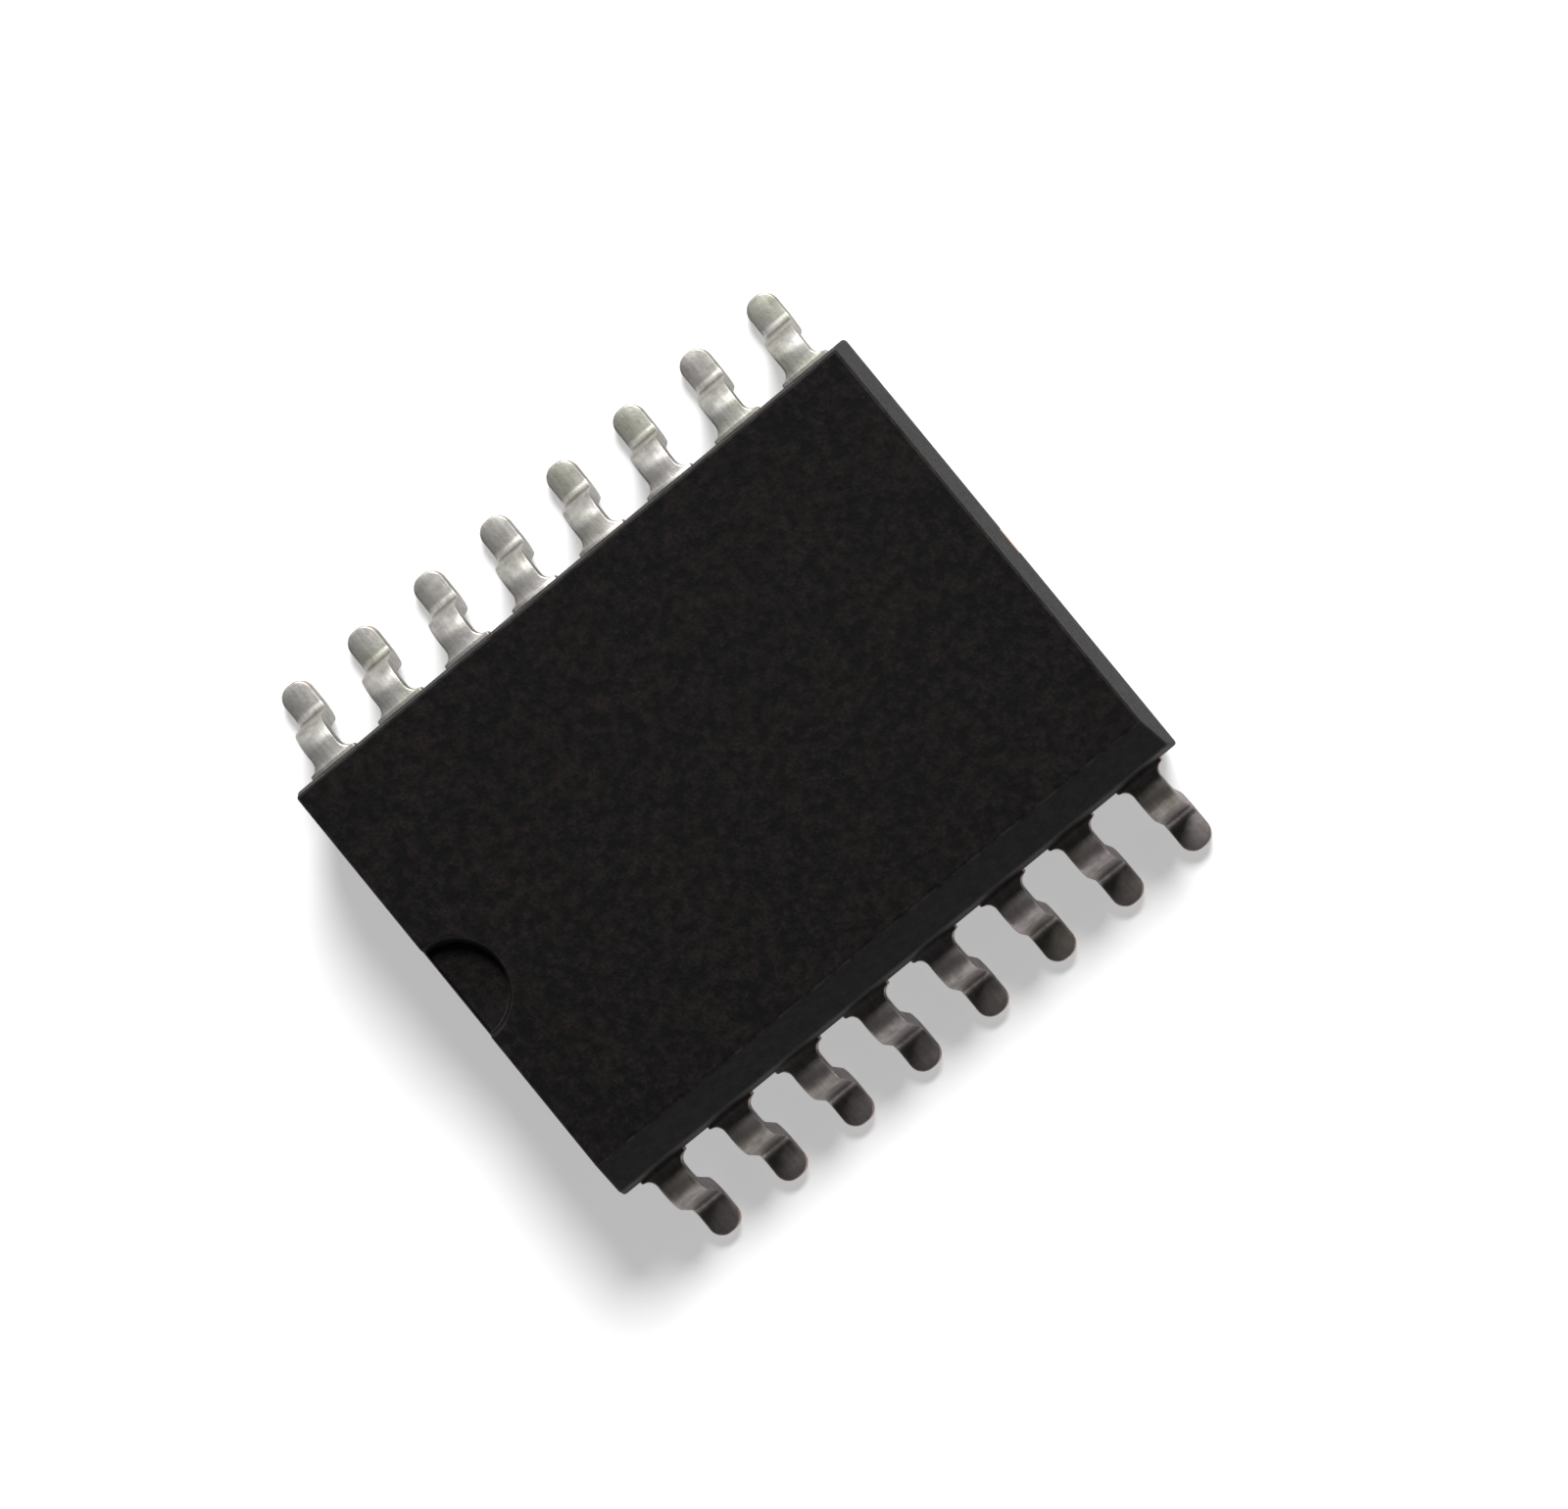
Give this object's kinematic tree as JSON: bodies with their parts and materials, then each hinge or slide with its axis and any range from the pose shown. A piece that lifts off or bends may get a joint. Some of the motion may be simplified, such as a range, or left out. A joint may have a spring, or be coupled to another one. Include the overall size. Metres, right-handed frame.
{
  "type": "soic chip",
  "caption": "Surface-mount chip: a black moulded block with gull-wing leads along both long sides, and a die, die pad and bond wires inside.",
  "frame": {"origin": "middle of the seating plane, under the middle of the body", "axes": "+Z away from the board, +X along the rows of leads from the lead 1 end, lead 1 at -X on the -Y side"},
  "size_m": [0.0104, 0.0104, 0.0025],
  "materials": {
    "mould_compound": "fine-grained black epoxy",
    "tinned_lead": "dull tin plate over copper alloy",
    "copper_alloy": "bare stamped copper alloy",
    "silver_epoxy": "matt silver-filled adhesive",
    "silicon": "polished silicon",
    "gold_wire": "drawn gold wire"
  },
  "bodies": {
    "root": {"moulded_body": "mould_compound", "die_pad": "copper_alloy", "die_attach": "silver_epoxy", "die": "silicon", "lead_1": "tinned_lead", "lead_2": "tinned_lead", "lead_3": "tinned_lead", "lead_4": "tinned_lead", "lead_5": "tinned_lead", "lead_6": "tinned_lead", "lead_7": "tinned_lead", "lead_8": "tinned_lead", "lead_9": "tinned_lead", "lead_10": "tinned_lead", "lead_11": "tinned_lead", "lead_12": "tinned_lead", "lead_13": "tinned_lead", "lead_14": "tinned_lead", "lead_15": "tinned_lead", "lead_16": "tinned_lead", "bond_wire_1": "gold_wire", "bond_wire_2": "gold_wire", "bond_wire_3": "gold_wire", "bond_wire_4": "gold_wire", "bond_wire_5": "gold_wire", "bond_wire_6": "gold_wire", "bond_wire_7": "gold_wire", "bond_wire_8": "gold_wire", "bond_wire_9": "gold_wire", "bond_wire_10": "gold_wire", "bond_wire_11": "gold_wire", "bond_wire_12": "gold_wire", "bond_wire_13": "gold_wire", "bond_wire_14": "gold_wire", "bond_wire_15": "gold_wire", "bond_wire_16": "gold_wire"}
  },
  "joints": []
}
